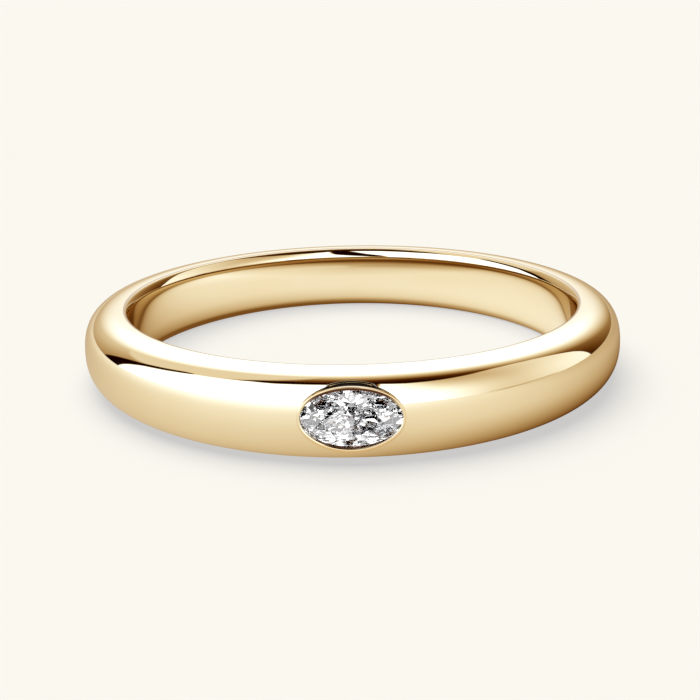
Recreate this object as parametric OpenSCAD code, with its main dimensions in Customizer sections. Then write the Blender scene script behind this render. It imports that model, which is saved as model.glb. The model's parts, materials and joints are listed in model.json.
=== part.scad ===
// A domed band ring with one oval stone set flush in a thin rim.
// The ring lies on its lower edge, with the stone facing -Y and the finger hole nearly upright.

/* [Finger hole] */
// Diameter of the finger hole
hole_d = 17.5; // [16:0.1:22]
// Radius of the rounded edge at each end of the finger hole
edge_r = 0.35; // [0.3:0.05:0.6]

/* [Band] */
// Width of the band at the stone
front_w = 3.5; // [3.2:0.05:4.4]
// Width of the band opposite the stone
back_w = 2.45; // [1.8:0.05:3.1]
// Thickness of the band at the stone
front_t = 1.6; // [1.6:0.05:2.6]
// Thickness of the band halfway round
side_t = 1.85; // [1.5:0.05:2.1]
// Thickness of the band opposite the stone
back_t = 1.5; // [1.3:0.05:2.1]
// Fullness of the dome, where 2 is a half ellipse and more is a squarer shoulder
dome_power = 2.45; // [2:0.05:3]

/* [Rim] */
// Width of the rim's front face
rim_w = 0.11; // [0.08:0.01:0.2]
// How far the rim laps over the stone's edge
rim_lap = 0.04; // [0.03:0.01:0.07]
// How far the rim stands out from the crest of the dome
rim_proud = 0.03; // [0.02:0.01:0.15]

/* [Stone] */
// Length of the stone, along the band
stone_l = 3.9; // [3:0.05:4]
// Width of the stone, across the band
stone_w = 2.28; // [1.8:0.02:2.5]
// Height of the crown, from the girdle to the table
crown_h = 0.32; // [0.3:0.01:0.4]
// Depth of the pavilion, from the girdle to its point
pavilion_h = 0.95; // [0.8:0.05:1.1]
// Thickness of the girdle where it is widest
girdle_h = 0.07; // [0.06:0.01:0.12]
// How far the table stands out from the crest of the dome
table_proud = 0.08; // [0:0.01:0.1]

/* [Hidden] */

hole_r = hole_d / 2;
crest_r = hole_r + front_t;
mean_w = (front_w + back_w) / 2;
// The lower edge lies in one plane, which leans by this angle to the middle of the band
lean = atan((front_w - back_w) / 2 / (2 * (hole_r + edge_r)));
rest_h = mean_w / 2 * cos(lean);

// Sections round the band, and points along the dome and along each rounded edge
turn_steps = 72;
dome_steps = 20;
edge_steps = 4;

// Each rounded edge turns this far, then runs straight on into the hole, which is bored true through it
edge_sweep = 75;
bore_stock = 0.08;
edge_end_out = edge_r * (1 - sin(edge_sweep));
edge_end_down = edge_r * (1 - cos(edge_sweep));
stock_down = edge_end_down + (edge_end_out + bore_stock) * tan(edge_sweep);

// Clearances round the seated stone, and the share of the seat's size left at its floor
stone_gap = 0.02;
lap_gap = 0.05;
seat_floor_gap = 0.05;
seat_floor_share = 0.15;
girdle_r = crest_r + table_proud - crown_h;

oval_steps = 64;
past = 1;

// Proportions of the cut, as shares of the girdle's radius
table_share = 0.56;
star_share = 0.76;
half_share = 0.22;
fold = 8;
fold_turn = 360 / fold;
girdle_turn = fold_turn / 4;

// Share of the way from the back of the band, 0, to the stone, 1
function toward_stone(turn) = (1 + cos(turn)) / 2;
function width_at(turn) = back_w + (front_w - back_w) * toward_stone(turn);
function thickness_at(turn) =
    side_t
    + (front_t - back_t) / 2 * cos(turn)
    + ((front_t + back_t) / 2 - side_t) * pow(cos(turn), 2);

// A power that keeps the sign of its base
function signed_pow(v, p) = sign(v) * pow(abs(v), p);

// One section of the band as [distance out from the hole's wall, height from the middle]
function dome_line(w, t) = [
    for (i = [0:dome_steps])
        let (a = -90 + 180 * i / dome_steps)
        [edge_r + (t - edge_r) * signed_pow(cos(a), 2 / dome_power),
         w / 2 * signed_pow(sin(a), 2 / dome_power)]
];
function edge_line(w, side) = concat(
    [
        for (i = [1:edge_steps])
            let (a = edge_sweep * i / edge_steps)
            [edge_r * (1 - sin(a)), side * (w / 2 - edge_r * (1 - cos(a)))]
    ],
    [[-bore_stock, side * (w / 2 - stock_down)]]
);
function reversed(list) = [for (i = [len(list) - 1:-1:0]) list[i]];
function section(w, t) = concat(dome_line(w, t), edge_line(w, 1), reversed(edge_line(w, -1)));

function placed(p, turn) = [sin(turn) * (hole_r + p[0]), -cos(turn) * (hole_r + p[0]), p[1]];

// An outline as an ellipse of the given length and width
function oval(l, w) = [
    for (i = [0:oval_steps - 1])
        let (a = 360 * i / oval_steps)
        [l / 2 * cos(a), w / 2 * sin(a)]
];

// Lays the ring's own frame, with the hole along Z and its middle at zero, on the surface
module at_rest() {
    translate([0, 0, rest_h])
        rotate([-lean, 0, 0])
            children();
}

// Stands a shape made along Z on the stone's axis, with zero at the given distance from the hole's axis
module on_stone_axis(r) {
    translate([0, -r, 0])
        rotate([90, 0, 0])
            children();
}

module oval_prism(l, w, h) {
    linear_extrude(height = h)
        polygon(oval(l, w));
}

// The swept band, with its hole still undersized
module blank() {
    rings = [
        for (i = [0:turn_steps - 1])
            let (turn = 360 * i / turn_steps)
            [for (p = section(width_at(turn), thickness_at(turn))) placed(p, turn)]
    ];
    across = len(rings[0]);
    points = [for (ring = rings) each ring];
    faces = [
        for (i = [0:turn_steps - 1], j = [0:across - 1])
            let (
                here = i * across,
                next = (i + 1) % turn_steps * across,
                k = (j + 1) % across
            )
            each [[here + j, here + k, next + j], [here + k, next + k, next + j]]
    ];
    polyhedron(points = points, faces = faces);
}

// The raised oval round the stone, level with a cylinder just outside the crest
module rim() {
    root_r = hole_r + front_t / 2;
    intersection() {
        on_stone_axis(root_r)
            oval_prism(
                stone_l + 2 * (rim_w - rim_lap),
                stone_w + 2 * (rim_w - rim_lap),
                front_t
            );
        cylinder(r = crest_r + rim_proud, h = 2 * front_w, center = true, $fn = 128);
    }
}

// The room for the stone: its opening, the groove for its girdle and the hollow for its point
module seat() {
    seat_l = stone_l + 2 * stone_gap;
    seat_w = stone_w + 2 * stone_gap;
    groove_h = lap_gap + girdle_h + stone_gap;
    groove_r = girdle_r - girdle_h - stone_gap;
    hollow_h = pavilion_h + seat_floor_gap;
    on_stone_axis(girdle_r)
        oval_prism(stone_l - 2 * rim_lap, stone_w - 2 * rim_lap, front_t);
    on_stone_axis(groove_r)
        oval_prism(seat_l, seat_w, groove_h);
    on_stone_axis(groove_r)
        mirror([0, 0, 1])
            linear_extrude(height = hollow_h, scale = seat_floor_share)
                polygon(oval(seat_l, seat_w));
}

module band() {
    color("#e2bd78")
        at_rest()
            difference() {
                union() {
                    blank();
                    rim();
                }
                cylinder(r = hole_r, h = front_w + 2 * past, center = true, $fn = 128);
                seat();
            }
}

// A point of the cut at a share of the girdle's radius, stretched to the oval
function cut_point(share, turn, z) = [
    stone_l / 2 * share * cos(turn),
    stone_w / 2 * share * sin(turn),
    z
];

// An oval brilliant, its girdle's upper edge at zero and its table up
module brilliant() {
    half_turn = fold_turn / 2;
    star_z = crown_h * (1 - star_share * cos(half_turn)) / (1 - table_share);
    half_z = pavilion_h * (1 - half_share * cos(half_turn));
    // The long facets carry on across the girdle, which is thinner in their middle
    bulge = (1 - cos(girdle_turn)) / cos(girdle_turn);
    upper_dip = star_z * bulge / (1 - star_share);
    lower_rise = half_z * bulge / (1 - half_share);
    around = 4 * fold;

    table = [for (i = [0:fold - 1]) cut_point(table_share, i * fold_turn, crown_h)];
    stars = [for (i = [0:fold - 1]) cut_point(star_share, i * fold_turn + half_turn, star_z)];
    upper = [for (j = [0:around - 1]) cut_point(1, j * girdle_turn, -upper_dip * (j % 2))];
    lower = [
        for (j = [0:around - 1])
            cut_point(1, j * girdle_turn, -girdle_h + lower_rise * (j % 2))
    ];
    halves = [
        for (i = [0:fold - 1])
            cut_point(half_share, i * fold_turn + half_turn, -girdle_h - half_z)
    ];
    point = [[0, 0, -girdle_h - pavilion_h]];

    // Where each group of points starts in the joined list
    s0 = fold;
    u0 = s0 + fold;
    l0 = u0 + around;
    h0 = l0 + around;
    tip = h0 + fold;

    crown_faces = [
        [for (i = [fold - 1:-1:0]) i],
        for (i = [0:fold - 1])
            let (
                next = (i + 1) % fold,
                last = (i + fold - 1) % fold,
                g = u0 + 4 * i,
                g_next = u0 + 4 * next
            )
            each [
                [i, next, s0 + i],
                [i, s0 + i, g, s0 + last],
                [s0 + i, g + 2, g + 1, g],
                [s0 + i, g_next, g + 3, g + 2]
            ]
    ];
    girdle_faces = [
        for (j = [0:around - 1])
            let (k = (j + 1) % around)
            [u0 + j, u0 + k, l0 + k, l0 + j]
    ];
    pavilion_faces = [
        for (i = [0:fold - 1])
            let (
                next = (i + 1) % fold,
                last = (i + fold - 1) % fold,
                g = l0 + 4 * i,
                g_next = l0 + 4 * next
            )
            each [
                [tip, h0 + last, g, h0 + i],
                [h0 + i, g, g + 1, g + 2],
                [h0 + i, g + 2, g + 3, g_next]
            ]
    ];
    polyhedron(
        points = concat(table, stars, upper, lower, halves, point),
        faces = concat(crown_faces, girdle_faces, pavilion_faces)
    );
}

module stone() {
    color("#f1f4f8")
        at_rest()
            on_stone_axis(girdle_r)
                brilliant();
}

band();
stone();
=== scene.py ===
"""A domed gold band ring with one oval stone, set flush in a thin rim, on a pale studio floor."""

import json
import math

import bmesh
import bpy
from bpy.props import FloatProperty, FloatVectorProperty, IntProperty, PointerProperty
from mathutils import Matrix, Vector


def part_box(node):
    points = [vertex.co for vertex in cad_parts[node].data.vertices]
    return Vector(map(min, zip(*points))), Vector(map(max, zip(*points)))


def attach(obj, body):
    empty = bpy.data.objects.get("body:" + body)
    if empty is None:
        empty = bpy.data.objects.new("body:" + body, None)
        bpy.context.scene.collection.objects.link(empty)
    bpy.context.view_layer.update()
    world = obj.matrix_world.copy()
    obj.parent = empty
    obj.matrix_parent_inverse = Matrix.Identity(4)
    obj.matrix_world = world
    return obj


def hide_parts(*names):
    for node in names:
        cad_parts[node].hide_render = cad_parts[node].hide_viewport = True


bl_info = {
    "name": "Flush-set band ring",
    "version": (1, 0, 0),
    "blender": (4, 5, 0),
    "location": "3D View > Sidebar > Ring",
    "description": "Models and lights a domed band ring with a flush-set oval stone",
    "category": "Add Mesh",
}

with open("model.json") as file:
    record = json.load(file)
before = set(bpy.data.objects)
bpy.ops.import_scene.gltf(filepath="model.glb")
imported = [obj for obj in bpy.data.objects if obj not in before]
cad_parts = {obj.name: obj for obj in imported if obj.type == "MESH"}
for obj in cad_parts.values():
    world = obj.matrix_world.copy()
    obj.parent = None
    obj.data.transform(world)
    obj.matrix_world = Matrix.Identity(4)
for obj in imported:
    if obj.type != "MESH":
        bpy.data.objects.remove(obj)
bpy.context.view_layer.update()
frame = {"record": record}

MM = 0.001
MERGE = 0.001 * MM
BODY = "root"

# The finger hole's place, lean and radius, from the frame's one bore
HOLE = frame["record"]["mounts"][0]
HOLE_R = HOLE["dims"]["r_mm"] * MM
REST_H = HOLE["pos_m"][2]
LEAN = math.atan2(HOLE["axis"][1], HOLE["axis"][2])
BAND_LOW, BAND_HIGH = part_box("band")
STONE_LOW, STONE_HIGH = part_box("stone")
STONE_PLACE = ((STONE_LOW + STONE_HIGH) / 2).to_tuple()

# Steps round the rim's and the stone's ovals
OVAL_STEPS = 160
# How far the rim and the stone sit above the band's middle
RIM_LIFT = 0.06 * MM
# How far the band's pocket stays inside the rim's outer wall, so that the rim covers its edge
POCKET_INSIDE = 0.02 * MM
# How far below its crest the dome lies, at most, where it meets the pocket
DOME_FALL = 0.33 * MM
# From the stone's point to the pocket's floor, then from that floor to the cup's foot and to its hollow
POINT_ROOM = 0.12 * MM
CUP_FOOT = 0.02 * MM
CUP_FLOOR = 0.07 * MM
# The hollow's size at its floor, as a share of the groove's
HOLLOW_SHARE = 0.15
# From the girdle's upper edge to the lap over it, and to the lowest edge that counts as the lip's
LAP_GAP = 0.05 * MM
LIP_FROM = 0.07 * MM
# How far the lip stands out before it is bent onto its cylinder
LIP_STOCK = 0.3 * MM
# Edges of the lip past this share of the rim's oval are its outer edge
OUTER_FROM = 0.97
# The cylinder that bends the lip: its steps and its length
FORM_STEPS = 720
FORM_LENGTH = 8 * MM
# Edges sharper than these stay sharp, on the band and on the rim
BAND_SHARP = math.radians(30)
RIM_SHARP = math.radians(40)
# Merging distances on shapes about 1 across: the band's section, each cut of the stone, and the cut stone
SECTION_MERGE = 1e-4
CUT_MERGE = 1e-6
STONE_MERGE = 1e-5

# How the hole's wall turns into the band's edge, arc by arc: slope reached in degrees, radius in mm, steps
EDGE_ARCS = (
    (5.3, 5.2, 5),
    (9, 1.3, 3),
    (25, 0.38, 5),
    (36, 0.85, 5),
    (43.5, 0.5, 3),
    (90, 0.11, 7),
)


def srgb(red, green, blue):
    """A colour given as 0 to 255 on a screen, as linear light."""
    def linear(c):
        c /= 255
        return c / 12.92 if c <= 0.04045 else ((c + 0.055) / 1.055) ** 2.4
    return linear(red), linear(green), linear(blue)


class RingBandSettings(bpy.types.PropertyGroup):
    """Sizes of the band."""

    front_w: FloatProperty(
        name="Front width", description="Width of the band at the stone",
        default=3.5 * MM, unit="LENGTH",
    )
    back_w: FloatProperty(
        name="Back width", description="Width of the band opposite the stone",
        default=2.45 * MM, unit="LENGTH",
    )
    front_t: FloatProperty(
        name="Front thickness", description="Thickness of the band at the stone",
        default=1.6 * MM, unit="LENGTH",
    )
    side_t: FloatProperty(
        name="Side thickness", description="Thickness of the band halfway round",
        default=(BAND_HIGH.x - BAND_LOW.x) / 2 - HOLE_R, unit="LENGTH",
    )
    back_t: FloatProperty(
        name="Back thickness", description="Thickness opposite the stone",
        default=1.5 * MM, unit="LENGTH",
    )
    edge_r: FloatProperty(
        name="Edge width", description="How far out from the finger hole the dome starts",
        default=0.35 * MM, unit="LENGTH",
    )
    dome_power: FloatProperty(
        name="Dome power", description="Power of the dome's ellipse, where more is fuller",
        default=2.45, min=2, max=4,
    )
    turns: IntProperty(
        name="Steps round", description="Sections round the band",
        default=180, min=36, max=360,
    )
    dome_steps: IntProperty(
        name="Dome steps", description="Steps from each edge of the dome to its crest",
        default=24, min=6, max=48,
    )


class RingRimSettings(bpy.types.PropertyGroup):
    """Sizes of the rim round the stone."""

    width: FloatProperty(
        name="Width", description="Width of the rim's lip",
        default=0.11 * MM, unit="LENGTH",
    )
    side_extra: FloatProperty(
        name="Side width", description="How much wider the lip is along the stone's sides",
        default=0.07 * MM, unit="LENGTH",
    )
    lap: FloatProperty(
        name="Lap", description="How far the lip laps over the stone's edge",
        default=0.04 * MM, unit="LENGTH",
    )
    proud: FloatProperty(
        name="Proud", description="How far the lip stands out from the crest",
        default=0.03 * MM, unit="LENGTH",
    )
    outer_round: FloatProperty(
        name="Outer rounding", description="Radius of the lip's outer edge",
        default=0.045 * MM, unit="LENGTH",
    )
    seam: FloatProperty(
        name="Seam", description="Width of the seam along the rim's upper side",
        default=0.04 * MM, unit="LENGTH",
    )
    lift: FloatProperty(
        name="Lift", description="How far the rim and the stone sit above the band's middle",
        default=RIM_LIFT, unit="LENGTH",
    )
    inner_round: FloatProperty(
        name="Inner rounding", description="How much of the lip its inner rounding takes",
        default=50, min=0, max=60, subtype="PERCENTAGE",
    )


class RingStoneSettings(bpy.types.PropertyGroup):
    """Sizes and proportions of the stone."""

    length: FloatProperty(
        name="Length", description="Length along the band",
        default=STONE_HIGH.x - STONE_LOW.x, unit="LENGTH",
    )
    width: FloatProperty(
        name="Width", description="Width across the band",
        default=2.28 * MM, unit="LENGTH",
    )
    crown_h: FloatProperty(
        name="Crown", description="Height of the crown",
        default=0.32 * MM, unit="LENGTH",
    )
    girdle_h: FloatProperty(
        name="Girdle", description="Thickness of the girdle",
        default=0.07 * MM, unit="LENGTH",
    )
    pavilion_h: FloatProperty(
        name="Pavilion", description="Depth of the pavilion",
        default=0.95 * MM, unit="LENGTH",
    )
    table_proud: FloatProperty(
        name="Table proud", description="How far the table stands out from the crest",
        default=0.08 * MM, unit="LENGTH",
    )
    table_share: FloatProperty(
        name="Table", description="Table size as a share of the girdle", default=0.56,
    )
    star_share: FloatProperty(
        name="Stars", description="Reach of the star facets, as a share", default=0.76,
    )
    half_share: FloatProperty(
        name="Lower halves", description="Where the lower halves end, as a share", default=0.22,
    )
    fold: IntProperty(
        name="Fold", description="How many main facets there are",
        default=8, min=6, max=20,
    )
    clearance: FloatProperty(
        name="Clearance", description="Gap round the stone",
        default=0.02 * MM, unit="LENGTH",
    )


class RingFinishSettings(bpy.types.PropertyGroup):
    """Colours and gloss of the metal and the stone, with the painted shade and reflections on the rim and
    the hole's edges.
    """

    gold: FloatVectorProperty(
        name="Gold", description="Colour of the polished gold",
        default=(0.93, 0.805, 0.54), subtype="COLOR", size=3,
    )
    gold_deep: FloatVectorProperty(
        name="Deeper gold", description="Colour in faint clouds of the gold",
        default=(0.925, 0.785, 0.51), subtype="COLOR", size=3,
    )
    seat: FloatVectorProperty(
        name="Seat", description="Colour of the whitened seat under the stone",
        default=(0.82, 0.83, 0.85), subtype="COLOR", size=3,
    )
    # Painted reflection: the lip's face over and under the stone is painted a deeper orange for gold seen
    # in gold
    lip_face_reflection: FloatVectorProperty(
        name="Rim face", description="Colour of the lip's face, deeper than the rest",
        default=(0.9, 0.66, 0.34), subtype="COLOR", size=3,
    )
    # Painted shadow: the lip's inner edge over and under the stone is painted dark for the shade against
    # the stone
    lip_edge_shadow: FloatVectorProperty(
        name="Dark edge", description="Colour of the lip's inner edge, above and below the stone",
        default=(0.12, 0.045, 0.018), subtype="COLOR", size=3,
    )
    # Painted shade: the rim's wall along its upper side and the seam there are painted near black for the
    # shade in that crease
    seam_painted_shade: FloatVectorProperty(
        name="Dark seam", description="Colour of the rim's unpolished wall along its upper side",
        default=(0.01, 0.005, 0.003), subtype="COLOR", size=3,
    )
    # Painted dark reflection: a fine brown line where the hole's rounded edge meets the dome
    edge_line_reflection: FloatVectorProperty(
        name="Edge line", description="Colour of the fine line along the finger hole's edges",
        default=(0.5, 0.33, 0.16), subtype="COLOR", size=3,
    )
    polish: FloatProperty(
        name="Polish", description="Roughness of the polished gold",
        default=0.035, min=0, max=1,
    )
    stone_ior: FloatProperty(
        name="Stone index", description="Refractive index of the stone", default=2.417,
    )


class RingStageSettings(bpy.types.PropertyGroup):
    """The floor, the studio round it and the camera."""

    paper: FloatVectorProperty(
        name="Paper", description="Colour of the floor as the camera sees it",
        default=srgb(250, 247, 239), subtype="COLOR", size=3,
    )
    glow: FloatProperty(
        name="Glow", description="Share of the floor's light that shadows leave as it is",
        default=0.63, min=0, max=1,
    )
    shadow_tint: FloatVectorProperty(
        name="Shadow tint", description="Tint of the light that shadows leave",
        default=(0.988, 1.005, 1.07), subtype="COLOR", size=3,
    )
    sky: FloatProperty(
        name="Sky", description="Strength of the overhead light on matt things",
        default=4.26, min=0,
    )
    second_look: FloatProperty(
        name="Second look", description="Brightness of what metal shows by way of other metal",
        default=0.7, min=0, max=1,
    )
    third_look: FloatProperty(
        name="Third look", description="Further dimming where that shows yet other metal",
        default=0.5, min=0, max=1,
    )
    camera_distance: FloatProperty(
        name="Camera distance", description="From the camera to its aim",
        default=127.5 * MM, unit="LENGTH",
    )
    camera_azimuth: FloatProperty(
        name="Camera azimuth", description="Turn of the camera to the right round the ring",
        default=math.radians(0.6), subtype="ANGLE",
    )
    camera_elevation: FloatProperty(
        name="Camera elevation", description="Height above the horizon",
        default=math.radians(18.975), subtype="ANGLE",
    )
    camera_roll: FloatProperty(
        name="Camera roll", description="Turn of the picture",
        default=math.radians(1.114), subtype="ANGLE",
    )
    camera_aim: FloatVectorProperty(
        name="Camera aim", description="Where the camera looks",
        default=(-0.106 * MM, 0, 0.987 * MM), size=3, unit="LENGTH",
    )
    lens: FloatProperty(
        name="Lens", description="Focal length in millimetres, on a 36 mm frame", default=164.75,
    )


# Modelling helpers


def deselect():
    """Leaves nothing selected."""
    bpy.ops.object.select_all(action="DESELECT")


def named(name):
    """Names the object that was just added, and its mesh."""
    piece = bpy.context.active_object
    piece.name = piece.data.name = name
    return piece


def activate(piece):
    """Selects one object alone."""
    deselect()
    piece.select_set(True)
    bpy.context.view_layer.objects.active = piece


def choose(kind, test):
    """Selects the vertices, edges or faces of the mesh being edited that pass a test."""
    bpy.ops.mesh.select_mode(type=kind)
    bpy.ops.mesh.select_all(action="DESELECT")
    mesh = bpy.context.edit_object.data
    open_mesh = bmesh.from_edit_mesh(mesh)
    parts = {"VERT": open_mesh.verts, "EDGE": open_mesh.edges, "FACE": open_mesh.faces}[kind]
    for part in parts:
        if test(part):
            part.select_set(True)
    open_mesh.select_flush_mode()
    bmesh.update_edit_mesh(mesh)


def clean_shell():
    """Merges what meets in the mesh being edited, and points its faces outwards."""
    bpy.ops.mesh.select_all(action="SELECT")
    bpy.ops.mesh.remove_doubles(threshold=MERGE)
    bpy.ops.mesh.normals_make_consistent(inside=False)


def edit():
    bpy.ops.object.mode_set(mode="EDIT")


def leave_edit():
    bpy.ops.object.mode_set(mode="OBJECT")


def apply_place():
    """Puts the active object's place, turn and size into its mesh."""
    bpy.ops.object.transform_apply(location=True, rotation=True, scale=True)


def apply_modifier(piece, kind, **settings):
    """Adds a modifier, sets it and applies it."""
    activate(piece)
    modifier = piece.modifiers.new(kind.title(), kind)
    for name, value in settings.items():
        setattr(modifier, name, value)
    bpy.ops.object.modifier_apply(modifier=modifier.name)


def copy_of(piece, name):
    """A copy of a piece with its own mesh."""
    activate(piece)
    bpy.ops.object.duplicate(linked=False)
    return named(name)


def remove(piece):
    mesh = piece.data
    bpy.data.objects.remove(piece)
    bpy.data.meshes.remove(mesh)


def lay_to_rest(piece):
    """Takes a piece from the ring's own frame, with the hole along Z round the origin, to how it lies."""
    activate(piece)
    piece.rotation_euler = (-LEAN, 0, 0)
    piece.location = (0, 0, REST_H)
    apply_place()


# The band


def toward_stone(turn):
    """1 at the stone and 0 opposite."""
    return (1 + math.cos(turn)) / 2


def width_at(s, turn):
    return s.back_w + (s.front_w - s.back_w) * toward_stone(turn)


def thickness_at(s, turn):
    mean = (s.front_t + s.back_t) / 2
    taper = (s.front_t - s.back_t) / 2 * math.cos(turn)
    return s.side_t + taper + (mean - s.side_t) * math.cos(turn) ** 2


def add_section(s):
    """The band's section at the stone: a flat outline with a domed outer side and square inner corners."""
    dome_t = s.front_t - s.edge_r
    land = s.edge_r / dome_t
    bpy.ops.mesh.primitive_plane_add(size=2, location=(0, 0, 0), rotation=(0, math.pi / 2, 0))
    piece = named("band")
    bpy.ops.object.transform_apply(location=False, rotation=True, scale=False)
    edit()
    # The corners stand 1 out from the dome's foot, and the inner side lies a land's length behind it
    choose("VERT", lambda v: v.co.y > 0)
    bpy.ops.transform.translate(value=(0, land - 1, 0))
    choose("VERT", lambda v: v.co.y < -0.5)
    profile = 2 ** (-2 / s.dome_power)
    bpy.ops.mesh.bevel(
        offset_type="OFFSET", offset=1, segments=s.dome_steps, profile=profile,
        affect="VERTICES", clamp_overlap=False,
    )
    bpy.ops.mesh.select_all(action="SELECT")
    bpy.ops.mesh.remove_doubles(threshold=SECTION_MERGE)
    bpy.ops.transform.resize(value=(1, dome_t, s.front_w / 2), center_override=(0, 0, 0))
    bpy.ops.transform.translate(value=(0, -HOLE_R - s.edge_r, 0))
    open_hole_side(s)
    bpy.ops.mesh.select_all(action="SELECT")
    bpy.ops.mesh.delete(type="ONLY_FACE")
    return piece


def edge_places():
    """Places from the hole's wall to the band's edge, as distance below the edge and out from the wall."""
    places, up, out, start = [(0, 0)], 0, 0, 0
    for slope, radius, steps in EDGE_ARCS:
        for k in range(steps):
            a, b = (math.radians(start + (slope - start) * n / steps) for n in (k, k + 1))
            up += radius * MM * (math.sin(b) - math.sin(a))
            out += radius * MM * (math.cos(a) - math.cos(b))
            places.append((up, out))
        start = slope
    return [(places[-1][0] - up, out) for up, out in places]


def open_hole_side(s):
    """Lets the section's straight inner side open gently towards its two ends."""
    places = edge_places()
    gap = s.front_w / (2 * len(places) - 1)
    def on_side(v):
        return abs(v.co.y + HOLE_R) < MERGE
    choose("EDGE", lambda e: all(on_side(v) for v in e.verts))
    bpy.ops.mesh.subdivide(number_cuts=2 * len(places) - 2)
    # From the ends inwards, so that a pair that has moved is never taken for one still to move
    for k in range(len(places) - 1, -1, -1):
        height = gap * (k + 0.5)
        below, out = places[k]
        choose("VERT", lambda v: on_side(v) and abs(abs(v.co.z) - height) < gap / 10)
        bpy.ops.transform.translate(value=(0, -out, 0))
        taller = (s.front_w / 2 - below) / height
        bpy.ops.transform.resize(value=(1, 1, taller), center_override=(0, 0, 0))


def spin_section(s):
    bpy.ops.mesh.select_all(action="SELECT")
    bpy.ops.mesh.spin(steps=s.turns, angle=2 * math.pi, center=(0, 0, 0), axis=(0, 0, 1))
    clean_shell()


def shape_rings(s):
    """Gives each section round the band its own width and thickness."""
    mesh = bpy.context.edit_object.data
    open_mesh = bmesh.from_edit_mesh(mesh)
    foot_r = HOLE_R + s.edge_r
    step = 2 * math.pi / s.turns
    rings = [[] for _ in range(s.turns)]
    for v in open_mesh.verts:
        rings[round(math.atan2(v.co.x, -v.co.y) / step) % s.turns].append(v.index)
    bpy.ops.mesh.select_mode(type="VERT")
    for k, ring in enumerate(rings):
        turn = k * step
        wider = width_at(s, turn) / s.front_w
        rise = (width_at(s, turn) - s.front_w) / 2
        thicker = (thickness_at(s, turn) - s.edge_r) / (s.front_t - s.edge_r)
        foot = (foot_r * math.sin(turn), -foot_r * math.cos(turn), 0)
        pick_in_ring(mesh, ring, lambda r, z: r >= foot_r - MERGE)
        bpy.ops.transform.resize(value=(thicker, thicker, wider), center_override=foot)
        for side in (-1, 1):
            pick_in_ring(mesh, ring, lambda r, z: r < foot_r - MERGE and side * z > 0)
            bpy.ops.transform.translate(value=(0, 0, side * rise))


def pick_in_ring(mesh, ring, test):
    """Selects the vertices of one section that pass a test of their radius and height."""
    bpy.ops.mesh.select_all(action="DESELECT")
    open_mesh = bmesh.from_edit_mesh(mesh)
    open_mesh.verts.ensure_lookup_table()
    for i in ring:
        co = open_mesh.verts[i].co
        if test(math.hypot(co.x, co.y), co.z):
            open_mesh.verts[i].select_set(True)
    bmesh.update_edit_mesh(mesh)


def oval_prism(name, half_l, half_w, near, far, up):
    """A closed oval prism along the stone's axis, between two distances from the hole's axis."""
    bpy.ops.mesh.primitive_cylinder_add(
        vertices=OVAL_STEPS, radius=1, depth=far - near, location=(0, -(near + far) / 2, 0),
        rotation=(math.pi / 2, 0, 0),
    )
    piece = named(name)
    apply_place()
    edit()
    bpy.ops.transform.resize(value=(half_l, 1, half_w), center_override=(0, 0, 0))
    bpy.ops.transform.translate(value=(0, 0, up))
    leave_edit()
    return piece


def build_band(s, rim, stone):
    deselect()
    band = add_section(s)
    spin_section(s)
    shape_rings(s)
    clean_shell()
    leave_edit()
    activate(band)
    bpy.ops.object.shade_smooth()
    apply_modifier(band, "WEIGHTED_NORMAL", mode="FACE_AREA", weight=50)
    whole = copy_of(band, "band_whole")
    half_l, half_w = rim_half_sizes(rim, stone)
    # The pocket ends inside the rim's wall, but for its upper side, where it leaves an open seam
    cutter = oval_prism(
        "pocket", half_l - POCKET_INSIDE, half_w + (rim.seam - POCKET_INSIDE) / 2,
        pocket_floor(s, stone), HOLE_R + 2 * s.front_t, rim.lift + (rim.seam + POCKET_INSIDE) / 2,
    )
    # A row of edges just under the dome, so that only the dome takes its old normals back
    activate(cutter)
    edit()
    bpy.ops.mesh.select_all(action="SELECT")
    bpy.ops.mesh.bisect(plane_co=(0, -HOLE_R - s.front_t + DOME_FALL, 0), plane_no=(0, 1, 0))
    leave_edit()
    apply_modifier(band, "BOOLEAN", operation="DIFFERENCE", solver="EXACT", object=cutter)
    activate(band)
    bpy.ops.object.shade_smooth_by_angle(angle=BAND_SHARP)
    apply_modifier(
        band, "DATA_TRANSFER", object=whole, use_loop_data=True, data_types_loops={"CUSTOM_NORMAL"},
        loop_mapping="POLYINTERP_NEAREST", use_max_distance=True, max_distance=POCKET_INSIDE,
    )
    remove(cutter)
    remove(whole)
    lay_to_rest(band)
    return band


# The rim


def rim_half_sizes(rim, stone):
    """Half the length and half the width of the rim's outer wall."""
    out = rim.width - rim.lap
    return stone.length / 2 + out, stone.width / 2 + out + rim.side_extra


def pocket_floor(band, stone):
    """How far from the hole's axis the band's pocket ends."""
    return girdle_at(band, stone) - stone.girdle_h - stone.pavilion_h - POINT_ROOM


def girdle_at(band, stone):
    """How far from the hole's axis the girdle's upper edge lies."""
    return HOLE_R + band.front_t + stone.table_proud - stone.crown_h


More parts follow.
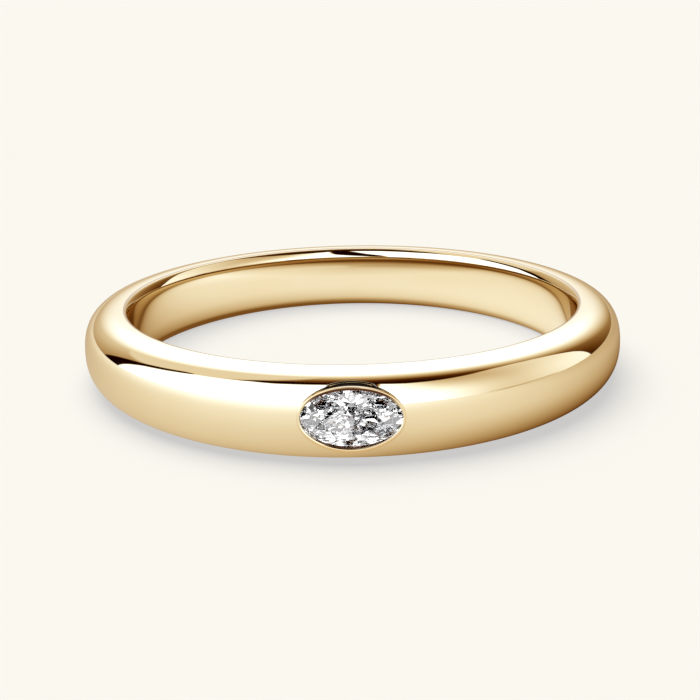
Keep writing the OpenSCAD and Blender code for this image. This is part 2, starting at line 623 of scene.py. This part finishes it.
def build_rim(band, rim, stone):
    """A cup with a rounded lip, a groove for the girdle and a tapering hollow for the stone's point."""
    deselect()
    half_l, half_w = rim_half_sizes(rim, stone)
    girdle_r = girdle_at(band, stone)
    floor_r = pocket_floor(band, stone)
    lip_r = HOLE_R + band.front_t + rim.proud
    front = lip_r + LIP_STOCK
    cup = oval_prism("rim", half_l, half_w, floor_r - CUP_FOOT, front, 0)
    activate(cup)
    edit()
    choose("FACE", lambda f: f.normal.y < -0.9)
    bpy.ops.mesh.inset(thickness=rim.width, use_boundary=True, use_even_offset=True)
    opening_l, opening_w = stone.length / 2 - rim.lap, stone.width / 2 - rim.lap
    narrower = opening_w / (half_w - rim.width)
    bpy.ops.transform.resize(value=(1, 1, narrower), center_override=(0, 0, 0))
    groove_top = girdle_r + LAP_GAP
    groove_low = girdle_r - stone.girdle_h - stone.clearance
    seat_l = (stone.length / 2 + stone.clearance) / opening_l
    seat_w = (stone.width / 2 + stone.clearance) / opening_w
    deeper(groove_top - front)
    deeper(0, (seat_l, 1, seat_w))
    deeper(groove_low - groove_top)
    deeper(floor_r + CUP_FLOOR - groove_low, (HOLLOW_SHARE, 1, HOLLOW_SHARE))
    leave_edit()
    follow_cylinder(cup, lip_r, front)
    shape_lip(cup, rim, (half_l, half_w), girdle_r)
    activate(cup)
    bpy.ops.object.shade_smooth_by_angle(angle=RIM_SHARP)
    cup.location = (0, 0, rim.lift)
    apply_place()
    lay_to_rest(cup)
    return cup


def deeper(by, scale=(1, 1, 1)):
    """Extrudes the selected face along the stone's axis, then scales it about that axis."""
    bpy.ops.mesh.extrude_region_move(TRANSFORM_OT_translate={"value": (0, -by, 0)})
    bpy.ops.transform.resize(value=scale, center_override=(0, 0, 0))


def follow_cylinder(cup, lip_r, front):
    """Bends the lip's flat face onto a cylinder round the hole's axis."""
    bpy.ops.mesh.primitive_cylinder_add(vertices=FORM_STEPS, radius=lip_r, depth=FORM_LENGTH)
    form = named("lip_form")
    lip = cup.vertex_groups.new(name="lip")
    lip.add([v.index for v in cup.data.vertices if v.co.y < -front + MERGE], 1, "REPLACE")
    apply_modifier(
        cup, "SHRINKWRAP", target=form, vertex_group="lip", wrap_method="PROJECT",
        use_project_x=False, use_project_y=True, use_project_z=False,
        use_positive_direction=True, use_negative_direction=True,
    )
    remove(form)


def shape_lip(cup, rim, half_sizes, girdle_r):
    """Rounds the lip's inner edge by a share of what lies beside it, then its outer edge."""
    activate(cup)
    edit()
    least = girdle_r + LIP_FROM
    half_l, half_w = half_sizes
    def on_lip(e, outer):
        a, b = (v.co for v in e.verts)
        share = math.hypot((a.x + b.x) / 2 / half_l, (a.z + b.z) / 2 / half_w)
        sharp = -max(a.y, b.y) > least and e.calc_face_angle(0) > RIM_SHARP
        return sharp and (share > OUTER_FROM) == outer
    choose("EDGE", lambda e: on_lip(e, False))
    bpy.ops.mesh.bevel(
        offset_type="PERCENT", offset_pct=rim.inner_round, segments=6, profile=0.5,
        affect="EDGES", clamp_overlap=False,
    )
    choose("EDGE", lambda e: on_lip(e, True))
    bpy.ops.mesh.bevel(
        offset_type="OFFSET", offset=rim.outer_round, segments=5, profile=0.5,
        affect="EDGES", clamp_overlap=False,
    )
    clean_shell()
    leave_edit()


# The stone


def facet_planes(s):
    """The cut as planes (point, outward direction), on a girdle of radius 1 with heights in metres."""
    step = 2 * math.pi / s.fold
    half = step / 2
    star_z = s.crown_h * (1 - s.star_share * math.cos(half)) / (1 - s.table_share)
    half_z = s.pavilion_h * (1 - s.half_share * math.cos(half))
    low = -s.girdle_h

    def at(share, turn, z):
        return Vector((share * math.cos(turn), share * math.sin(turn), z))

    def through(a, b, c):
        normal = (b - a).cross(c - a).normalized()
        return a, normal if normal.dot(a - Vector((0, 0, low / 2))) > 0 else -normal

    planes = [(Vector((0, 0, s.crown_h)), Vector((0, 0, 1)))]
    for i in range(s.fold):
        turn = i * step
        table = at(s.table_share, turn, s.crown_h)
        next_table = at(s.table_share, turn + step, s.crown_h)
        star = at(s.star_share, turn + half, star_z)
        last_star = at(s.star_share, turn - half, star_z)
        planes.append(through(table, star, last_star))
        planes.append(through(table, next_table, star))
        tip = Vector((0, 0, low - s.pavilion_h))
        lower = at(s.half_share, turn + half, low - half_z)
        last_lower = at(s.half_share, turn - half, low - half_z)
        planes.append(through(tip, lower, last_lower))
        for side in (0, 1):
            a, b = at(1, turn + side * half, 0), at(1, turn + (side + 1) * half, 0)
            planes.append(through(star, a, b))
            drop = Vector((0, 0, low))
            planes.append(through(lower, a + drop, b + drop))
    return planes


def build_stone(band, rim, s):
    """Cuts the stone from a cylinder, facet by facet, and stretches it to its oval."""
    deselect()
    height = s.crown_h + s.girdle_h + s.pavilion_h
    middle = (s.crown_h - s.girdle_h - s.pavilion_h) / 2
    bpy.ops.mesh.primitive_cylinder_add(vertices=OVAL_STEPS, radius=1, depth=1)
    stone = named("stone")
    edit()
    bpy.ops.transform.resize(value=(1, 1, height), center_override=(0, 0, 0))
    bpy.ops.transform.translate(value=(0, 0, middle))
    # The heights are stretched while the planes cut, so that no cut is too thin to close
    bpy.ops.transform.resize(value=(1, 1, 1 / s.pavilion_h), center_override=(0, 0, 0))
    for point, normal in facet_planes(s):
        spot = Vector((point.x, point.y, point.z / s.pavilion_h))
        direction = Vector((normal.x, normal.y, normal.z * s.pavilion_h)).normalized()
        bpy.ops.mesh.select_all(action="SELECT")
        bpy.ops.mesh.bisect(
            plane_co=spot, plane_no=direction, use_fill=True, clear_outer=True, threshold=CUT_MERGE
        )
    bpy.ops.mesh.select_all(action="SELECT")
    bpy.ops.mesh.remove_doubles(threshold=STONE_MERGE)
    bpy.ops.transform.resize(
        value=(s.length / 2, s.width / 2, s.pavilion_h), center_override=(0, 0, 0)
    )
    bpy.ops.mesh.normals_make_consistent(inside=False)
    leave_edit()
    stone.rotation_euler = (math.pi / 2, 0, 0)
    stone.location = (0, -girdle_at(band, s), rim.lift)
    activate(stone)
    apply_place()
    bpy.ops.object.shade_flat()
    lay_to_rest(stone)
    return stone


# Shader helpers


class Value:
    """A shader socket that takes Python's operators."""

    def __init__(self, board, socket):
        self.board = board
        self.socket = socket

    def math(self, operation, *others):
        values = dict(enumerate((self,) + others))
        return self.board.node("ShaderNodeMath", {"operation": operation}, values)

    def __add__(self, other):
        return self.math("ADD", other)

    __radd__ = __add__

    def __sub__(self, other):
        return self.math("SUBTRACT", other)

    def __rsub__(self, other):
        return self.board.value(other).math("SUBTRACT", self)

    def __mul__(self, other):
        return self.math("MULTIPLY", other)

    __rmul__ = __mul__

    def __truediv__(self, other):
        return self.math("DIVIDE", other)

    def __pow__(self, other):
        return self.math("POWER", other)

    def __neg__(self):
        return self * -1

    def largest(self, other):
        return self.math("MAXIMUM", other)

    def step(self, low, high, start=0, end=1, kind="SMOOTHSTEP"):
        """Goes from start to end as the value goes from low to high."""
        return self.board.node(
            "ShaderNodeMapRange", {"interpolation_type": kind},
            {0: self, 1: low, 2: high, 3: start, 4: end},
        )

    def spread(self, start, end):
        """Goes straight from start, where the value is 0, to end, where it is 1."""
        return self * (end - start) + start

    def dying_off(self, reach):
        """1 where the value is 0, and less the further it falls below, over a given reach."""
        return (self / reach).math("EXPONENT")


class Board:
    """A node tree that makes its nodes by one method."""

    def __init__(self, tree):
        self.tree = tree
        tree.nodes.clear()

    def node(self, kind, settings=None, sockets=None, out=0):
        """Adds a node, sets it up, feeds its sockets and returns one of its outputs."""
        node = self.tree.nodes.new(kind)
        for name, value in (settings or {}).items():
            if name == "points":
                points = node.mapping.curves[0].points
                points[0].location, points[1].location = value[0], value[-1]
                for place in value[1:-1]:
                    points.new(*place)
                for point in points:
                    point.handle_type = "VECTOR"
                node.mapping.update()
            else:
                setattr(node, name, value)
        for key, value in (sockets or {}).items():
            socket = node.inputs[key]
            if isinstance(value, Value):
                self.tree.links.new(value.socket, socket)
            elif hasattr(value, "__len__") and len(value) < len(socket.default_value):
                socket.default_value = (*value, 1)
            else:
                socket.default_value = value
        return Value(self, node.outputs[out]) if len(node.outputs) else node

    def value(self, number):
        return self.node("ShaderNodeMath", {"operation": "ADD"}, {0: number, 1: 0})

    def split(self, vector):
        x = self.node("ShaderNodeSeparateXYZ", None, {0: vector})
        return [Value(self, output) for output in x.socket.node.outputs]

    def rays(self):
        """What kind of ray is being shaded, by the name of each kind."""
        node = self.node("ShaderNodeLightPath").socket.node
        return {output.name: Value(self, output) for output in node.outputs}

    def join(self, x, y, z):
        return self.node("ShaderNodeCombineXYZ", None, {0: x, 1: y, 2: z})

    def mix(self, factor, a, b):
        return self.node("ShaderNodeMix", {"data_type": "RGBA"}, {0: factor, 6: a, 7: b}, out=2)


def new_material(name):
    material = bpy.data.materials.new(name)
    material.use_nodes = True
    return material, Board(material.node_tree)


# The materials

# The gold's polishing lines: how many go round for each radian, and how many lie across each metre
LINES_ROUND = 2.2
LINES_ACROSS = 9000
LINE_DEPTH = 0.002 * MM

# Ovals round the stone for the whitened seat and for the painted reflection and painted shade on the rim,
# in millimetres: half length, half width, height over the stone's middle
SEAT_OVAL = (1.99, 1.2, 0)
LIP_REFLECTION_OVAL = (2.06, 1.3, 0)
LIP_SHADOW_OVAL = (1.935, 1.185, 0.05)
SEAM_SHADE_OUTER_OVAL = (2.08, 1.37, 0)
SEAM_SHADE_INNER_OVAL = (2.0, 1.265, 0)
# From the hole's axis, in millimetres: where the seat's colour starts, and where the lip does
SEAT_FROM = (8.8, 8.9)
LIP_FRONT = (10.14, 10.16)
# From the hole's wall out to the line of painted dark reflection on the edge, in millimetres: inner and
# outer side
LINE_INNER = (0.2, 0.22)
LINE_OUTER = (0.29, 0.31)


def gold_material(s):
    """Polished gold, with faint polishing lines round the band, slow clouds of tint, and painted shade and
    reflections round the stone and on the hole's edges.
    """
    material, board = new_material("polished_gold")
    place = board.node("ShaderNodeTexCoord", out=3)
    x, y, z = board.split(place)
    turn = x.math("ARCTAN2", -y)
    out_r = (x * x + y * y) ** 0.5
    stretched = board.join(turn * LINES_ROUND, out_r * LINES_ACROSS, z * LINES_ACROSS)
    lines = board.node(
        "ShaderNodeTexNoise", None, {"Vector": stretched, "Scale": 1, "Detail": 3, "Roughness": 0.6}
    )
    clouds = board.node("ShaderNodeTexNoise", None, {"Vector": place, "Scale": 260, "Detail": 3})
    colour = board.mix(clouds.step(0.35, 0.65), s.gold, s.gold_deep)
    colour, dull = paint_setting(board, s, colour, (x, y, z))
    roughness = s.polish + (lines - 0.5) * 0.02 + (clouds - 0.5) * 0.02 + dull * 0.75
    bump = board.node(
        "ShaderNodeBump", None, {"Height": lines, "Strength": 0.05, "Distance": LINE_DEPTH}
    )
    shader = board.node(
        "ShaderNodeBsdfPrincipled", None,
        {"Base Color": colour, "Metallic": 1.0, "Roughness": roughness, "Normal": bump},
    )
    board.node("ShaderNodeOutputMaterial", None, {"Surface": shader})
    return material


def paint_setting(board, s, colour, place):
    """Whitens the seat, paints reflection on the lip's face and shade on its inner edge and on the rim's
    upper wall, paints a dark reflection line on the hole's edges, and says where the metal is dull.
    """
    x, y, z = place
    height = (z + y * math.tan(LEAN) - REST_H) / MM
    across, along_band, out = height - RIM_LIFT / MM, x / MM, -y / MM
    off_middle = across * across
    from_axis = (along_band ** 2 + (out + height * math.tan(LEAN)) ** 2) ** 0.5 - HOLE_R / MM

    def within(oval):
        half_l, half_w, up = oval
        return 1 - ((along_band / half_l) ** 2 + ((across - up) / half_w) ** 2).step(0.98, 1.02)

    # Inside the rim the seat is whitened, as is done under clear stones
    lip = out.step(*LIP_FRONT)
    seat = within(SEAT_OVAL) * (1 - lip) * out.step(*SEAT_FROM)
    colour = board.mix(seat, colour, s.seat)
    # Over and under the stone the lip's face is painted deeper orange, a painted reflection of gold in
    # gold, and its inner edge is painted dark, a painted shadow against the stone
    colour = board.mix(within(LIP_REFLECTION_OVAL) * lip * off_middle.step(0.1, 0.9), colour, s.lip_face_reflection)
    lip_edge_shadow = within(LIP_SHADOW_OVAL) * lip * off_middle.step(0.1, 0.8)
    colour = board.mix(lip_edge_shadow, colour, s.lip_edge_shadow)
    # The rim's outer wall along its upper side, and the seam there, are unpolished and painted near black,
    # a painted shade in that crease
    wall = (within(SEAM_SHADE_OUTER_OVAL) - within(SEAM_SHADE_INNER_OVAL)) * from_axis.step(1.52, 1.58, 1, 0)
    wall = wall * (from_axis - along_band * along_band * 0.3).step(1.06, 1.12)
    wall = wall * out.step(9.8, 9.9) * across.step(0.2, 0.7)
    colour = board.mix(wall, colour, s.seam_painted_shade)
    # A fine deeper line where the hole's rounded edge meets the dome, a painted dark reflection
    edge_line_reflection = from_axis.step(*LINE_INNER) * from_axis.step(*LINE_OUTER, 1, 0)
    return board.mix(edge_line_reflection, colour, s.edge_line_reflection), wall


def stone_material(s):
    """A clear stone of high index, with a trace of cloud in its body."""
    material, board = new_material("clear_stone")
    place = board.node("ShaderNodeTexCoord", out=3)
    clouds = board.node("ShaderNodeTexNoise", None, {"Vector": place, "Scale": 1500, "Detail": 2})
    colour = board.mix(clouds, (0.99, 0.99, 1.0), (0.97, 0.975, 0.985))
    shader = board.node(
        "ShaderNodeBsdfPrincipled", None,
        {"Base Color": colour, "Roughness": 0.0, "IOR": s.stone_ior, "Transmission Weight": 1.0},
    )
    board.node("ShaderNodeOutputMaterial", None, {"Surface": shader})
    return material


# The stage

# Width of the camera's frame, in millimetres
FRAME_W = 36

# How far from the hole's axis the floor's shade outside the band starts, and where inside gives way to it
FOOT_R = 10.2 * MM
UNDER_BAND = (9.0 * MM, 9.3 * MM)
# How far behind the hole's axis the shade over the floor's front part ends
FRONT_SHADE_END = 3.6 * MM

# The top edge of the front screen, as azimuth and elevation in degrees. Azimuth 0 is the camera's side.
SCREEN_TOP = (
    (-118, -10), (-115, 2), (-112, 9), (-108, 16), (-104, 21.7), (-100, 25), (-92, 31.5), (-84, 38),
    (-80, 39.5), (-68, 43.5), (-56, 47.3), (-44, 48), (-32, 50.6), (-20, 52.3), (4, 53.5), (16, 52),
    (28, 48.3), (40, 47.5), (52, 48), (64, 49), (76, 50.5), (88, 50.5), (100, 47.5), (108, 42),
    (112, 36), (115, 24), (117, 8), (119, -4), (122, -10),
)
# The upper edge of the dark slot that parts the overhead lights from the screen
SLOT_TOP = (
    (-134, -10), (-132, -4), (-128, 2.5), (-122, 11), (-116, 18.5), (-110, 24), (-104, 29.5),
    (-98, 34), (-92, 38.5), (-86, 39.5), (-84, 37), (-64, 44), (-58, 53), (-52, 56), (-44, 59.5),
    (4, 60), (20, 57),
)
# The azimuths between which the slot ends on the right
SLOT_END = (8, 26)
# The screen's brightness along its width, as azimuth and level
SCREEN_LEVEL = (
    (20, 1.42), (32, 1.38), (40, 1.28), (46, 1.15), (52, 1.05), (58, 0.95), (64, 0.89), (70, 0.86),
    (76, 0.87), (88, 0.98), (100, 1.08), (112, 1.13),
)
# How much the screen dims towards its top, as azimuth and share
SCREEN_FADE = ((16, 0), (28, 0.2), (40, 0.42), (52, 0.4), (64, 0.28), (76, 0.2), (100, 0.2))
# The dark opening in the screen: azimuth and elevation of its middle, half length, half width and tilt
OPENING = (-2, 32, 34, 9, 26.565)

# Soft lights: azimuth and elevation of the middle, the angles from it where fading starts and ends, level
REAR_LIGHT = (181, 50.5, 31, 65.3, 1.4)
LEFT_LIGHT = (-115, 56, 28.6, 39.7, 0.85)
LOW_LEFT_LIGHT = (-163, 39.4, -5, 93, 1.01)
# The rear light is narrower than it is high by this factor
REAR_NARROWER = 1.16
# The light that casts shadows on the floor, without its level
SKY_LIGHT = (-142, 71, 18, 42)
# The least light in the dark gaps
GAP_LIGHT = 0.008


def build_floor(s):
    """Pale paper. Polished metal sees it with a warm, soft shade along the band."""
    deselect()
    bpy.ops.mesh.primitive_plane_add(size=6, location=(0, 0, 0))
    floor = named("floor")
    material, board = new_material("floor_paper")
    place = board.node("ShaderNodeTexCoord", out=3)
    ray = board.rays()

    fibres = board.node("ShaderNodeTexNoise", None, {"Vector": place, "Scale": 900, "Detail": 4})
    glow_share = [c * s.glow * tint for c, tint in zip(s.paper, s.shadow_tint)]
    lit_share = [c - g for c, g in zip(s.paper, glow_share)]
    fibre_share = [c * 0.99 for c in lit_share]
    matt = board.node("ShaderNodeBsdfDiffuse", None, {"Color": board.mix(fibres, lit_share, fibre_share)})
    glow = board.node("ShaderNodeEmission", None, {"Color": glow_share, "Strength": 1})
    paper = board.node("ShaderNodeAddShader", None, {0: matt, 1: glow})

    x, y, _ = board.split(place)
    in_metal = warm_shade(board, floor_level(x, y, ray) * seen_again(ray, s))
    seen_in_metal = board.node("ShaderNodeEmission", None, {"Color": in_metal, "Strength": 1})
    from_stone = board.node("ShaderNodeVectorMath", {"operation": "SUBTRACT"}, {0: place, 1: STONE_PLACE})
    from_stone = board.node("ShaderNodeVectorMath", {"operation": "NORMALIZE"}, {0: from_stone})
    in_stone = sparkle(board, from_stone)
    seen_in_stone = board.node("ShaderNodeEmission", None, {"Color": in_stone, "Strength": 1})

    outside_stone = board.node(
        "ShaderNodeMixShader", None, {0: ray["Is Glossy Ray"], 1: paper, 2: seen_in_metal}
    )
    whole = board.node(
        "ShaderNodeMixShader", None, {0: stone_ray(ray), 1: outside_stone, 2: seen_in_stone}
    )
    board.node("ShaderNodeOutputMaterial", None, {"Surface": whole})
    floor.data.materials.append(material)


def floor_level(x, y, ray):
    """How bright metal sees the floor: shaded round the band's foot, and inside the hole near its wall."""
    out_r = (x * x + y * y) ** 0.5
    right, front = x / out_r, -y / out_r
    to_right, to_left = right.largest(0), (-right).largest(0)

    past_foot = (FOOT_R - out_r) / MM
    contact = to_right.spread(0.058, 0.688) * past_foot.dying_off(to_right.spread(0.464, 1.92))
    broad = to_right.spread(0.482, 0.048) * past_foot.dying_off(15.3)
    outside = (0.946 + front * 0.284 - right * 0.19 - contact - broad).largest(0.05)

    past_wall = (out_r - HOLE_R) / MM
    foot = (0.4 + to_left * 0.25 - to_right * 0.25) * past_wall.dying_off(to_left.spread(0.9, 1.5))
    front_shade = y.step(-HOLE_R, FRONT_SHADE_END, 1, 0, "LINEAR") ** 0.8 * 0.75
    # The dark line of contact counts only where metal shows the floor straight away
    first_look = ray["Glossy Depth"].step(1, 2, 1, 0, "LINEAR")
    contact_line = past_wall.dying_off(0.25) * first_look * 0.24
    tilt = to_right * 0.16 - to_left * to_left * 0.1
    inside = (0.97 + tilt - foot - contact_line - front_shade).largest(0.2)

    under = out_r.step(*UNDER_BAND)
    return inside * (1 - under) + outside * under


def warm_shade(board, level):
    """Light that turns warmer as it dims, as polished gold shows it."""
    return board.join(level, level ** 1.5, level ** 2.35)


def seen_again(ray, s):
    """How much dimmer things are where metal shows metal that shows them, and once more after that."""
    depth = ray["Glossy Depth"]
    second = depth.step(1, 2, 1, s.second_look, "LINEAR")
    return second * depth.step(2, 3, 1, s.third_look, "LINEAR")


def stone_ray(ray):
    """1 for what is seen through the stone or in its surface."""
    return ray["Is Transmission Ray"].largest(ray["Is Singular Ray"])


def sparkle(board, direction):
    """What the stone shows: patches of black, grey and white, as of cards and gaps round a small stone."""
    patches = board.node(
        "ShaderNodeTexVoronoi", {"feature": "F1"},
        {"Vector": direction, "Scale": 4.5, "Randomness": 1}, out=1,
    )
    chance, _, _ = board.split(patches)
    level = chance.step(0.3, 0.32) * 0.6 + chance.step(0.45, 0.47) * 1.6
    return board.join(level, level, level)


def along(board, azimuth, points, low, high):
    """A value that goes straight from point to point of a table by azimuth, between two limits."""
    ends = [(-180, points[0][1]), *points, (180, points[-1][1])]
    places = [((a + 180) / 360, (v - low) / (high - low)) for a, v in ends]
    turned = (azimuth + 180) / 360
    curve = board.node("ShaderNodeFloatCurve", {"points": places}, {"Value": turned})
    return curve * (high - low) + low


def from_polar(azimuth, elevation):
    a, e = math.radians(azimuth), math.radians(elevation)
    return Vector((math.sin(a) * math.cos(e), -math.cos(a) * math.cos(e), math.sin(e)))


def dot(board, direction, axis):
    return board.node("ShaderNodeVectorMath", {"operation": "DOT_PRODUCT"}, {0: direction, 1: axis}, out=1)


def soft_light(board, direction, light):
    """A round light that fades out from its middle."""
    azimuth, elevation, near, far, level = light
    away = dot(board, direction, from_polar(azimuth, elevation)).math("ARCCOSINE") * math.degrees(1)
    return away.step(near, far, level, 0)


def oval_light(board, direction, light, narrower):
    """A light that fades out evenly from its middle, and sooner to either side by a factor."""
    azimuth, elevation, near, far, level = light
    centre = from_polar(azimuth, elevation)
    side = Vector((math.cos(math.radians(azimuth)), math.sin(math.radians(azimuth)), 0))
    up = dot(board, direction, side.cross(centre)).math("ARCTAN2", dot(board, direction, centre))
    sideways = dot(board, direction, side).math("ARCSINE") * narrower
    away = (up * up + sideways * sideways) ** 0.5 * math.degrees(1)
    return away.step(near, far, level, 0, "LINEAR")


def screen_light(board, azimuth, elevation):
    """The screen's own brightness, with its dark opening and the line where it stands on the floor."""
    dimmer_up = along(board, azimuth, SCREEN_FADE, 0, 1) * elevation.step(10, 50)
    light = along(board, azimuth, SCREEN_LEVEL, 0, 2) * (1 - dimmer_up)
    # The opening is left of the camera, and leans to the left as it goes down
    middle, height, half_l, half_w, tilt = OPENING
    sine, cosine = math.sin(math.radians(tilt)), math.cos(math.radians(tilt))
    across, upward = azimuth - middle, elevation - height
    length = (across * sine + upward * cosine) / half_l
    width = (across * cosine - upward * sine) / half_w
    light = light * (length * length + width * width).step(0.7, 1.2)
    # The line is faint, and only on the right
    foot_line = elevation.step(0.5, 3, 0.3, 0) * azimuth.step(50, 66) * azimuth.step(88, 98, 1, 0)
    return light * (1 - foot_line)


def build_surroundings(s):
    """The studio: a screen round the front, soft light overhead and behind, and dark between them."""
    world = bpy.data.worlds.new("studio")
    bpy.context.scene.world = world
    world.use_nodes = True
    board = Board(world.node_tree)
    direction = board.node("ShaderNodeTexCoord", out=0)
    x, y, z = board.split(direction)
    elevation = z.math("ARCSINE") * math.degrees(1)
    azimuth = x.math("ARCTAN2", -y) * math.degrees(1) - math.degrees(s.camera_azimuth)

    screen = (along(board, azimuth, SCREEN_TOP, -10, 90) - elevation).step(-1.5, 1.5)
    rear = oval_light(board, direction, REAR_LIGHT, REAR_NARROWER)
    left = soft_light(board, direction, LEFT_LIGHT)
    low_left = soft_light(board, direction, LOW_LEFT_LIGHT)
    past_slot = (elevation - along(board, azimuth, SLOT_TOP, -10, 90)).step(-1.5, 1.5)
    overhead = rear.largest(left).largest(low_left) * past_slot.largest(azimuth.step(*SLOT_END))
    light = screen * screen_light(board, azimuth, elevation) + overhead * (1 - screen)

    ray = board.rays()
    in_metal = warm_shade(board, light.largest(GAP_LIGHT) * seen_again(ray, s))
    sky = soft_light(board, direction, (*SKY_LIGHT, s.sky))
    colour = board.mix(ray["Is Glossy Ray"], board.join(sky, sky, sky), in_metal)
    colour = board.mix(stone_ray(ray), colour, sparkle(board, direction))
    colour = board.mix(ray["Is Camera Ray"], colour, s.paper)
    background = board.node("ShaderNodeBackground", None, {"Color": colour, "Strength": 1})
    board.node("ShaderNodeOutputWorld", None, {"Surface": background})


def build_camera(s):
    data = bpy.data.cameras.new("camera")
    camera = bpy.data.objects.new("camera", data)
    bpy.context.scene.collection.objects.link(camera)
    back = from_polar(math.degrees(s.camera_azimuth), math.degrees(s.camera_elevation))
    camera.location = Vector(s.camera_aim) + back * s.camera_distance
    look = (-back).to_track_quat("-Z", "Y").to_matrix() @ Matrix.Rotation(-s.camera_roll, 3, "Z")
    camera.rotation_mode = "QUATERNION"
    camera.rotation_quaternion = look.to_quaternion()
    data.lens = s.lens
    data.sensor_width = FRAME_W
    data.clip_start, data.clip_end = 0.001, 20
    bpy.context.scene.camera = camera


# The pieces and the stage as operators


def finish_piece(piece, material, slot, *nodes):
    """Gives a piece its material and its place in the frame."""
    piece.data.materials.clear()
    piece.data.materials.append(material)
    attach(piece, BODY)
    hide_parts(*nodes)


def shared_gold(s):
    return bpy.data.materials.get("polished_gold") or gold_material(s)


class RING_OT_add_band(bpy.types.Operator):
    """Adds the domed band with its pocket"""

    bl_idname = "ring.add_band"
    bl_label = "Add band"

    def execute(self, context):
        s = context.scene
        band = build_band(s.ring_band, s.ring_rim, s.ring_stone)
        finish_piece(band, shared_gold(s.ring_finish), "gold", "band")
        return {"FINISHED"}


class RING_OT_add_rim(bpy.types.Operator):
    """Adds the rim round the stone"""

    bl_idname = "ring.add_rim"
    bl_label = "Add rim"

    def execute(self, context):
        s = context.scene
        rim = build_rim(s.ring_band, s.ring_rim, s.ring_stone)
        finish_piece(rim, shared_gold(s.ring_finish), "gold", "band")
        return {"FINISHED"}


class RING_OT_add_stone(bpy.types.Operator):
    """Adds the oval stone"""

    bl_idname = "ring.add_stone"
    bl_label = "Add stone"

    def execute(self, context):
        s = context.scene
        stone = build_stone(s.ring_band, s.ring_rim, s.ring_stone)
        finish_piece(stone, stone_material(s.ring_finish), "diamond", "stone")
        return {"FINISHED"}


class RING_OT_add_stage(bpy.types.Operator):
    """Adds the floor, the studio light and the camera"""

    bl_idname = "ring.add_stage"
    bl_label = "Add stage"

    def execute(self, context):
        s = context.scene.ring_stage
        build_floor(s)
        build_surroundings(s)
        build_camera(s)
        context.scene.view_settings.view_transform = "Standard"
        # The stone needs many bounces, or its inner reflections go dark
        cycles = context.scene.cycles
        cycles.caustics_reflective = False
        cycles.max_bounces, cycles.glossy_bounces, cycles.transmission_bounces = 32, 16, 24
        return {"FINISHED"}


class RING_PT_panel(bpy.types.Panel):
    """Lists the ring's pieces and its stage"""

    bl_label = "Flush-set ring"
    bl_idname = "RING_PT_panel"
    bl_space_type = "VIEW_3D"
    bl_region_type = "UI"
    bl_category = "Ring"

    def draw(self, context):
        for operator in OPERATORS:
            self.layout.operator(operator.bl_idname)


SETTINGS = {
    "ring_band": RingBandSettings,
    "ring_rim": RingRimSettings,
    "ring_stone": RingStoneSettings,
    "ring_finish": RingFinishSettings,
    "ring_stage": RingStageSettings,
}
OPERATORS = (RING_OT_add_band, RING_OT_add_rim, RING_OT_add_stone, RING_OT_add_stage)
CLASSES = (*SETTINGS.values(), *OPERATORS, RING_PT_panel)


def register():
    for cls in CLASSES:
        bpy.utils.register_class(cls)
    for name, cls in SETTINGS.items():
        setattr(bpy.types.Scene, name, PointerProperty(type=cls))


def unregister():
    for name in SETTINGS:
        delattr(bpy.types.Scene, name)
    for cls in reversed(CLASSES):
        bpy.utils.unregister_class(cls)


def main():
    register()
    bpy.ops.ring.add_band()
    bpy.ops.ring.add_rim()
    bpy.ops.ring.add_stone()
    bpy.ops.ring.add_stage()


if __name__ == "__main__":
    main()
